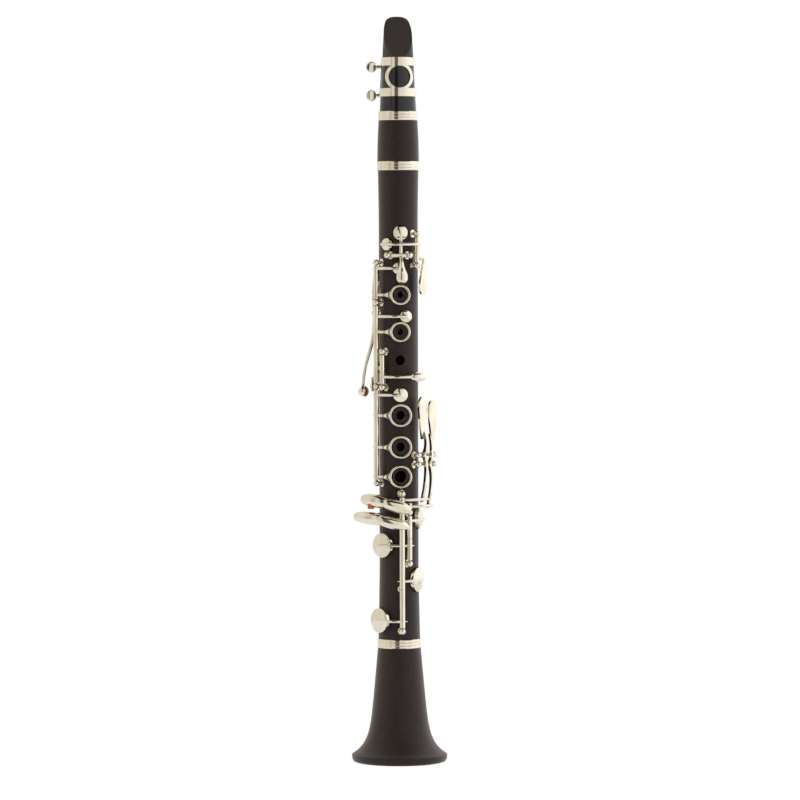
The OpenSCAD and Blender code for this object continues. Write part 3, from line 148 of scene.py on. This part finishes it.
def stained_blackwood():
    """Oiled, stained wood off the lathe: short pores along the grain and a dull, brownish sheen."""
    material, p = new_paint("stained_blackwood")
    streaks = p.noise((700, 700, 26), 5, 0.6, 0.4)
    mottle = p.noise((1000, 1000, 700), 4, 0.7)
    pores = p.noise((6200, 6200, 420), 2, 0.5)
    tool_marks = p.noise((40, 40, 5200), 2, 0.5)
    pore = p.step(pores, 0.58, 0.7)
    wood = p.blend(p.step(streaks, 0.3, 0.75), colour(28, 18, 16), colour(37, 25, 22))
    wood = p.blend(p.step(mottle, 0.42, 0.7) * 0.6, wood, colour(54, 41, 36))
    wood = p.blend(pore * 0.75, wood, colour(15, 10, 9))
    rough = 0.42 + mottle * 0.1 + pore * 0.16
    relief = tool_marks * 0.2 - pore * 0.8 + mottle * 0.35
    p.surface(Base_Color=wood, Roughness=rough, Specular_IOR_Level=0.24, Sheen_Weight=0.3,
        Sheen_Roughness=0.45, Sheen_Tint=(1, 0.86, 0.76, 1), Normal=p.bump(relief, 0.4, 0.00006))
    return material


def hard_rubber():
    """Black hard rubber: the beak is rubbed dull by use, the shank below the ligature is polished."""
    material, p = new_paint("hard_rubber")
    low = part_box("ligature")[0][2]
    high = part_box("ligature")[1][2]
    dull = p.step(p.height(), low + 0.6 * (high - low), high)
    clouds = p.noise((160, 160, 90), 4)
    scratches = p.noise((2600, 900, 240), 3, 0.6)
    body = p.blend(clouds, colour(10, 8, 9), colour(18, 14, 15))
    body = p.blend(dull * 0.8, body, colour(50, 40, 36))
    rough = 0.1 + dull * 0.4 + scratches * 0.09
    p.surface(Base_Color=body, Roughness=rough, Specular_IOR_Level=0.5,
        Normal=p.bump(scratches, 0.22, 0.00003))
    return material


def nickel_plate():
    """Bright nickel plate, faintly warm, with hand polish in it and a thin film of tarnish."""
    material, p = new_paint("nickel_plate")
    film = p.noise((110, 110, 70), 5, 0.6)
    polish = p.noise((420, 420, 160), 3, 0.6)
    specks = p.step(p.noise((900, 900, 900), 2), 0.68, 0.76)
    plate = p.blend(p.step(film, 0.36, 0.7), colour(226, 220, 205), colour(214, 205, 186))
    plate = p.blend(specks * 0.2, plate, colour(176, 160, 132))
    rough = 0.03 + film * 0.05 + polish * 0.02 + specks * 0.06
    p.surface(Base_Color=plate, Metallic=1.0, Roughness=rough, Normal=p.bump(polish, 0.05, 0.00004))
    return material


def polished_steel():
    """Plain steel of the rods and springs, with fine turning lines."""
    material, p = new_paint("polished_steel")
    lines = p.noise((700, 700, 2600), 2)
    film = p.noise((90, 90, 90), 4)
    steel = p.blend(film, colour(176, 172, 164), colour(150, 145, 137))
    p.surface(Base_Color=steel, Metallic=1.0, Roughness=0.2 + lines * 0.16,
        Normal=p.bump(lines, 0.15, 0.00002))
    return material


def pad_membrane():
    """Thin skin stretched over felt, slightly crinkled and yellowed."""
    material, p = new_paint("pad_membrane")
    crinkle = p.noise((1100, 1100, 1100), 5, 0.62, 0.8)
    skin = p.blend(crinkle, colour(214, 196, 158), colour(236, 224, 196))
    p.surface(Base_Color=skin, Roughness=0.5 + crinkle * 0.2, Subsurface_Weight=0.1,
        Normal=p.bump(crinkle, 0.4, 0.00015))
    return material


def cork_sheet():
    """Pressed cork: warm grains with dark pits."""
    material, p = new_paint("cork_sheet")
    grains = p.place((900, 900, 900))
    cells = p.node("ShaderNodeTexVoronoi", None, {"Vector": grains, "Scale": 1.0})
    pits = p.step(p.noise((1500, 1500, 1500), 3), 0.6, 0.72)
    grain = p.blend(cells, colour(196, 122, 62), colour(160, 88, 40))
    grain = p.blend(pits * 0.7, grain, colour(86, 44, 20))
    p.surface(Base_Color=grain, Roughness=0.78 + cells * 0.1,
        Normal=p.bump(cells - pits, 0.5, 0.0002))
    return material


def reed_cane():
    """Cut cane: straw coloured with straight darker fibres."""
    material, p = new_paint("reed_cane")
    fibres = p.noise((2600, 2600, 30), 3, 0.6)
    bark = p.noise((140, 140, 40), 3)
    cane = p.blend(p.step(fibres, 0.35, 0.7), colour(226, 196, 124), colour(188, 146, 76))
    cane = p.blend(bark * 0.3, cane, colour(206, 170, 96))
    p.surface(Base_Color=cane, Roughness=0.42 + fibres * 0.2, Normal=p.bump(fibres, 0.3, 0.00008))
    return material


finishes = {
    "body_wood": stained_blackwood(),
    "mouthpiece_ebonite": hard_rubber(),
    "key_metal": nickel_plate(),
    "steel": polished_steel(),
    "pad_skin": pad_membrane(),
    "cork": cork_sheet(),
    "cane": reed_cane(),
}


def soft_edges(angle):
    """Shading that runs smoothly over the seams between a solid's faces, up to an angle."""
    weld_distance = 1e-7
    tree = bpy.data.node_groups.new("soft_edges", "GeometryNodeTree")
    for in_out in ("INPUT", "OUTPUT"):
        tree.interface.new_socket("Geometry", in_out=in_out, socket_type="NodeSocketGeometry")
    start = tree.nodes.new("NodeGroupInput")
    end = tree.nodes.new("NodeGroupOutput")
    plain = tree.nodes.new("GeometryNodeRemoveAttribute")
    plain.inputs["Name"].default_value = "custom_normal"
    welded = tree.nodes.new("GeometryNodeMergeByDistance")
    welded.inputs["Distance"].default_value = weld_distance
    rounded = tree.nodes.new("GeometryNodeSetShadeSmooth")
    rounded.domain = "FACE"
    creased = tree.nodes.new("GeometryNodeSetShadeSmooth")
    creased.domain = "EDGE"
    bend = tree.nodes.new("GeometryNodeInputMeshEdgeAngle")
    shallow = tree.nodes.new("FunctionNodeCompare")
    shallow.data_type = "FLOAT"
    shallow.operation = "LESS_THAN"
    shallow.inputs[1].default_value = angle
    tree.links.new(bend.outputs["Unsigned Angle"], shallow.inputs[0])
    tree.links.new(shallow.outputs[0], creased.inputs["Shade Smooth"])
    chain = (start, plain, welded, rounded, creased, end)
    for a, b in zip(chain, chain[1:]):
        tree.links.new(a.outputs[0], b.inputs[0])
    return tree


def finish_solids():
    """Every solid of the frame takes the finish of its slot and shades smoothly."""
    smooth_deg = 35
    smooth_rings_deg = 50
    smooth_strips_deg = 100
    slots = {part["node"]: part["material_slot"] for part in frame["record"]["subparts"]}
    edges = soft_edges(math.radians(smooth_deg))
    ring_edges = soft_edges(math.radians(smooth_rings_deg))
    strip_edges = soft_edges(math.radians(smooth_strips_deg))
    for name, solid in nodes.items():
        solid.data.materials.clear()
        solid.data.materials.append(finishes[slots[name]])
        shading = edges
        if "ring_key" in name:
            shading = ring_edges
        if "trill_key" in name:
            shading = strip_edges
        solid.modifiers.new("soft_edges", "NODES").node_group = shading


# Fine metalwork, modelled piece by piece

def begin(add, **settings):
    """Adds a primitive with nothing else selected, ready to be shaped."""
    bpy.ops.object.select_all(action="DESELECT")
    add(**settings)
    bpy.ops.object.mode_set(mode="EDIT")
    return bpy.context.object


def pick_faces(piece, wanted):
    """Selects the faces whose centre and normal pass a test."""
    bpy.ops.mesh.select_mode(type="FACE")
    bpy.ops.mesh.select_all(action="DESELECT")
    mesh = bmesh.from_edit_mesh(piece.data)
    for face in mesh.faces:
        face.select_set(wanted(face.calc_center_median(), face.normal))
    bmesh.update_edit_mesh(piece.data)


def pick_ring(piece, height):
    """Selects the points of a piece of unit size at one height."""
    near = 1e-4
    bpy.ops.mesh.select_mode(type="VERT")
    bpy.ops.mesh.select_all(action="DESELECT")
    mesh = bmesh.from_edit_mesh(piece.data)
    for point in mesh.verts:
        point.select_set(abs(point.co.z - height) < near)
    mesh.select_flush(True)
    bmesh.update_edit_mesh(piece.data)


def settle(piece, name, body, slot, smooth_deg=32):
    """Puts a piece's place into its mesh, gives it its finish and lets it ride on its body."""
    bpy.ops.object.mode_set(mode="OBJECT")
    bpy.ops.object.select_all(action="DESELECT")
    piece.select_set(True)
    bpy.context.view_layer.objects.active = piece
    bpy.ops.object.transform_apply(location=True, rotation=True, scale=True)
    bpy.ops.object.shade_smooth_by_angle(angle=math.radians(smooth_deg))
    piece.name = name
    piece.data.name = name
    piece.data.materials.clear()
    piece.data.materials.append(finishes[slot])
    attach(piece, body)


def copy_of(model):
    """Copy of a modelled piece, with a mesh of its own."""
    bpy.ops.object.select_all(action="DESELECT")
    model.select_set(True)
    bpy.context.view_layer.objects.active = model
    bpy.ops.object.duplicate()
    return bpy.context.object


def turned_to(way):
    """Turn that points a piece's Z axis along a direction."""
    return way.to_track_quat("Z", "Y").to_matrix().to_4x4()


def milled_edge(screw, turned_deg):
    """Teeth round the flat head of a thumb screw, which stands turned about its shank."""
    upright_low, upright_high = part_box("ligature_screw_lower")
    radius = (upright_high[2] - upright_low[2]) / 2
    low, high = (Vector(corner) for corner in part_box(screw))
    centre = Vector((low.x + radius, (low.y + high.y) / 2, (low.z + high.z) / 2))
    teeth = 44
    tooth_width = 1.0 * MM
    tooth_depth = 0.13 * MM
    tooth_edge = 0.03 * MM
    sunk = 0.05 * MM
    band_wall = 0.35 * MM
    band = begin(bpy.ops.mesh.primitive_cylinder_add, vertices=2 * teeth, radius=radius - sunk,
        depth=tooth_width, end_fill_type="NOTHING", location=centre,
        rotation=(math.radians(90 + turned_deg), 0, 0))
    pitch = math.pi / teeth
    pick_faces(band, lambda at, out: int(math.atan2(at.y, at.x) % math.tau / pitch) % 2 == 0)
    bpy.ops.mesh.inset(thickness=tooth_edge, depth=tooth_depth)
    bpy.ops.object.mode_set(mode="OBJECT")
    wall = band.modifiers.new("wall", "SOLIDIFY")
    wall.thickness = band_wall
    wall.offset = -1
    bpy.ops.object.modifier_apply(modifier="wall")
    settle(band, screw + "_milling", screw, "key_metal")


# Plump touches: key, then the blunt tip and the slim tip, each by its angle from the finger-hole
# line, its distance from the bore's axis and its height, then the radius
plump_touches = [
    ("low_e_key", (-74, 26.6, 173.6), (-22, 18.3, 170.8), 4.5),
    ("low_f_key", (-80, 30.5, 162.0), (-26, 18.3, 159.8), 4.3),
    ("low_f_sharp_key", (-26, 30.0, 172.0), (11, 26.8, 166.6), 4.2),
    ("a_flat_key", (-35, 29.4, 161.0), (8, 26.2, 155.9), 4),
    ("c_sharp_key", (52, 20.4, 253.4), (20, 17.2, 253.4), 3.2),
]


def plump_touch():
    """Finger touch of unit size along Z, drawn ring by ring from a ball: blunt below, slim above."""
    rings = 32
    blunt_power = -0.5
    slim_power = 0.1
    touch = begin(bpy.ops.mesh.primitive_uv_sphere_add, segments=56, ring_count=rings, radius=1,
        location=(0, 0, 0))
    for ring in range(1, rings):
        angle = math.pi * ring / rings
        height = -math.cos(angle)
        draw = math.sin(angle) ** (blunt_power + (slim_power - blunt_power) * ring / rings)
        pick_ring(touch, height)
        bpy.ops.transform.resize(value=(draw, draw, 1), center_override=(0, 0, height))
    bpy.ops.object.mode_set(mode="OBJECT")
    return touch


def finger_touches():
    """Smooth skins of the plump touches, each a hair larger than the solid touch it lies on."""
    skin = 0.03 * MM
    smooth_deg = 80
    model = plump_touch()
    for key, blunt, slim, radius in plump_touches:
        start, end = (Vector((d * MM * math.sin(math.radians(a)), -d * MM * math.cos(math.radians(a)),
            z * MM)) for a, d, z in (blunt, slim))
        touch = copy_of(model)
        across = radius * MM + skin
        size = Matrix.Diagonal((across, across, (end - start).length / 2 + skin, 1))
        touch.matrix_world = Matrix.Translation((start + end) / 2) @ turned_to(end - start) @ size
        settle(touch, key.replace("_key", "_touch_skin"), key, "key_metal", smooth_deg)
    bpy.data.objects.remove(model)


def slotted_head(radius, thick):
    """Small round screw head with a chamfered edge and a driver slot, its face towards +Z."""
    chamfer = 0.14 * radius
    dome = 0.16 * radius
    half_slot = 0.13 * radius
    slot_depth = 0.3 * radius
    faces_up = 0.9
    head = begin(bpy.ops.mesh.primitive_cylinder_add, vertices=32, radius=radius, depth=thick,
        end_fill_type="NGON", location=(0, 0, 0))
    pick_faces(head, lambda at, out: out.z > faces_up)
    bpy.ops.mesh.inset(thickness=chamfer, depth=dome)
    for side in (-1, 1):
        bpy.ops.mesh.select_all(action="SELECT")
        bpy.ops.mesh.bisect(plane_co=(0, side * half_slot, 0), plane_no=(0, 1, 0))
    pick_faces(head, lambda at, out: out.z > faces_up and abs(at.y) < half_slot)
    bpy.ops.mesh.extrude_region_move(TRANSFORM_OT_translate={"value": (0, 0, -slot_depth)})
    bpy.ops.object.mode_set(mode="OBJECT")
    return head


def copy_heads(model, places, name, body, slot):
    """Copies of a screw head at points, each facing its own way, as one piece of separate shells."""
    copies = []
    for point, way in places:
        copy = copy_of(model)
        copy.matrix_world = Matrix.Translation(point) @ turned_to(Vector(way))
        bpy.ops.object.transform_apply(location=True, rotation=True, scale=True)
        copies.append(copy)
    bpy.ops.object.select_all(action="DESELECT")
    for copy in copies:
        copy.select_set(True)
    bpy.context.view_layer.objects.active = copies[0]
    bpy.ops.object.join()
    settle(copies[0], name, body, slot)


def rod_ends(rod_node, reach):
    """Both ends of each rod of a node, from the points of its mesh that lie along a hinge's line."""
    points = [v.co for v in nodes[rod_node].data.vertices]
    ends = {}
    for joint in hinges:
        centre, line = Vector(joint["pos_m"]), Vector(joint["axis"]).normalized()
        along = [(p - centre).dot(line) for p in points if (p - centre).cross(line).length < reach]
        if along:
            for side, end in ((-1, min(along)), (1, max(along))):
                point = centre + line * end
                ends[tuple(round(c / MM, 1) for c in point)] = (point, line * side)
    return list(ends.values())


def screw_heads():
    """Slotted ends of the hinge rods, the thumb rest's screws and the throat key's adjusting screw."""
    rod_reach = 1.2 * MM
    rod_bodies = {"hinge_rods": "body", "low_e_rod": "low_e_key",
        "low_f_sharp_rod": "low_f_sharp_key"}
    rod_end = slotted_head(0.84 * MM, 0.5 * MM)
    for rod_node, body in rod_bodies.items():
        copy_heads(rod_end, rod_ends(rod_node, rod_reach), rod_node + "_slots", body, "steel")
    rest_low, rest_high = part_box("thumb_rest_screws")
    pitch = 4.4 * MM
    middle_z = (rest_low[2] + rest_high[2]) / 2
    rest_places = [(Vector((0, rest_high[1], middle_z + side * pitch / 2)), (0, 1, 0))
        for side in (-1, 1)]
    rest_head = slotted_head(1.1 * MM, 0.4 * MM)
    copy_heads(rest_head, rest_places, "thumb_rest_screw_slots", "body", "steel")
    low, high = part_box("throat_adjusting_screw")
    top = (Vector(((low[0] + high[0]) / 2, low[1], (low[2] + high[2]) / 2)), (0, -1, 0))
    adjuster = slotted_head(1.1 * MM, 0.3 * MM)
    copy_heads(adjuster, [top], "throat_adjusting_screw_slot", "throat_a_key", "steel")
    for model in (rod_end, rest_head, adjuster):
        bpy.data.objects.remove(model)


# Stage

def white_world():
    """White to the camera. Metal mirrors a room: a warm panel on the left, a window on the right,
    a stand, a dark slit by the lens and a dark patch of ceiling."""
    slit_depth = 0.85
    stand_depth = 0.3
    ceiling_depth = 0.96
    window_gain = 0.38
    window_fade = 0.7
    fill_light = 0.6
    warm_tint = (0.94, 0.9, 0.81, 1)
    world = bpy.data.worlds.new("white_studio")
    bpy.context.scene.world = world
    p = Paint(world)
    rays = p.tree.nodes.new("ShaderNodeLightPath")
    camera = Sock(p, rays.outputs["Is Camera Ray"])
    mirror = Sock(p, rays.outputs["Is Glossy Ray"])
    through = Sock(p, rays.outputs["Is Transmission Ray"])
    way = p.tree.nodes.new("ShaderNodeSeparateXYZ")
    p.tree.links.new(p.node("ShaderNodeTexCoord", out="Generated").out, way.inputs[0])
    across = Sock(p, way.outputs[0])
    back = Sock(p, way.outputs[1])
    up = Sock(p, way.outputs[2])
    # Angle in degrees from straight in front, positive to the right
    turn = across.math("ARCTAN2", across, 0 - back) * math.degrees(1)
    slit = p.step(turn, -34, -22) * p.step(turn, -1, -9)
    stand = p.step(turn, -62, -52) * p.step(turn, -40, -48)
    window = p.step(turn, 0, 80) - p.step(turn, 110, 165) * window_fade
    ceiling = p.step(up, 0.74, 0.8) * p.step(across, -0.4, -0.25) * p.step(back, 0.25, 0.1)
    panels = (1 + window * window_gain) * (1 - slit * slit_depth)
    panels = panels * (1 - stand * stand_depth) * (1 - ceiling * ceiling_depth)
    unlit = 1 - p.node("ShaderNodeMath", {"operation": "MAXIMUM"}, {0: camera, 1: through})
    seen = camera + through * (1 - camera) + unlit * mirror * panels
    strength = seen + unlit * (1 - mirror) * fill_light
    warm = unlit * mirror * p.step(turn, 60, -10)
    tint = p.blend(warm, (1, 1, 1, 1), warm_tint)
    sky = p.node("ShaderNodeBackground", None, {"Color": tint, "Strength": strength})
    p.tree.links.new(sky.out, p.node_output("ShaderNodeOutputWorld"))


def pale_floor():
    """White floor that keeps only the soft shadow under the bell, small enough that metal low on
    the body mirrors the room."""
    side = 1.2
    below_rim = 0.5 * MM
    glow = 1.04
    glow_share = 0.93
    material, p = new_paint("white_floor")
    rays = p.tree.nodes.new("ShaderNodeLightPath")
    seen = Sock(p, rays.outputs["Is Camera Ray"]) + Sock(p, rays.outputs["Is Glossy Ray"])
    seen = p.node("ShaderNodeMath", {"operation": "MINIMUM"}, {0: seen, 1: 1.0})
    white = p.node("ShaderNodeEmission", None, {"Color": (1, 1, 1, 1), "Strength": glow})
    matt = p.node("ShaderNodeBsdfDiffuse", None, {"Color": (0.86, 0.86, 0.85, 1)})
    mixed = p.node("ShaderNodeMixShader", None, {0: seen * glow_share, 1: matt, 2: white})
    p.tree.links.new(mixed.out, p.node_output("ShaderNodeOutputMaterial"))
    bpy.ops.mesh.primitive_plane_add(size=side, location=(0, 0, -below_rim))
    floor = bpy.context.object
    floor.name = "floor"
    floor.data.materials.append(material)


def soft_box(name, place, target, width, height, watts):
    """Rectangular studio lamp that faces a point."""
    data = bpy.data.lights.new(name, "AREA")
    data.shape = "RECTANGLE"
    data.size = width
    data.size_y = height
    data.energy = watts
    lamp = bpy.data.objects.new(name, data)
    lamp.visible_glossy = False
    lamp.location = place
    lamp.rotation_euler = (Vector(target) - Vector(place)).to_track_quat("-Z", "Y").to_euler()
    bpy.context.scene.collection.objects.link(lamp)


def studio_lamps():
    """Two soft boxes behind the sides and one above the front."""
    middle = (0, 0, 0.26)
    soft_box("lamp_right", (1.6, 0.5, 0.5), middle, 1.5, 2.0, 15)
    soft_box("lamp_left", (-1.6, 0.3, 0.5), middle, 1.4, 2.0, 10)
    soft_box("lamp_front", (-0.3, -2.4, 1.9), middle, 2.0, 1.0, 12)


def photo_camera():
    """Long lens a little left of the finger-hole line and above the middle, as in the photograph."""
    image_w = 800
    sensor_w = 36
    far = 60
    turn = math.radians(-6.3)
    distance = 2.65
    eye_z = 0.327
    middle_z = 0.2379
    frame_w = 0.5256
    axis_px = 398.7
    tilt = math.radians(0.15)
    data = bpy.data.cameras.new("photo_camera")
    camera = bpy.data.objects.new("photo_camera", data)
    bpy.context.scene.collection.objects.link(camera)
    eye = Vector((distance * math.sin(turn), -distance * math.cos(turn), eye_z))
    right = Vector((math.cos(turn), math.sin(turn), 0))
    sideways = right * ((image_w / 2 - axis_px) * frame_w / image_w)
    aim = Vector((0, 0, middle_z)) + sideways
    look = (aim - eye).to_track_quat("-Z", "Y").to_matrix().to_4x4()
    camera.matrix_world = Matrix.Translation(eye) @ look @ Matrix.Rotation(-tilt, 4, "Z")
    data.sensor_width = sensor_w
    data.lens = sensor_w * (aim - eye).length / frame_w
    data.clip_end = far
    bpy.context.scene.camera = camera


bpy.context.scene.view_settings.view_transform = "Standard"
finish_solids()
milled_edge("ligature_screw_upper", 12)
milled_edge("ligature_screw_lower", 0)
finger_touches()
screw_heads()
white_world()
pale_floor()
studio_lamps()
photo_camera()
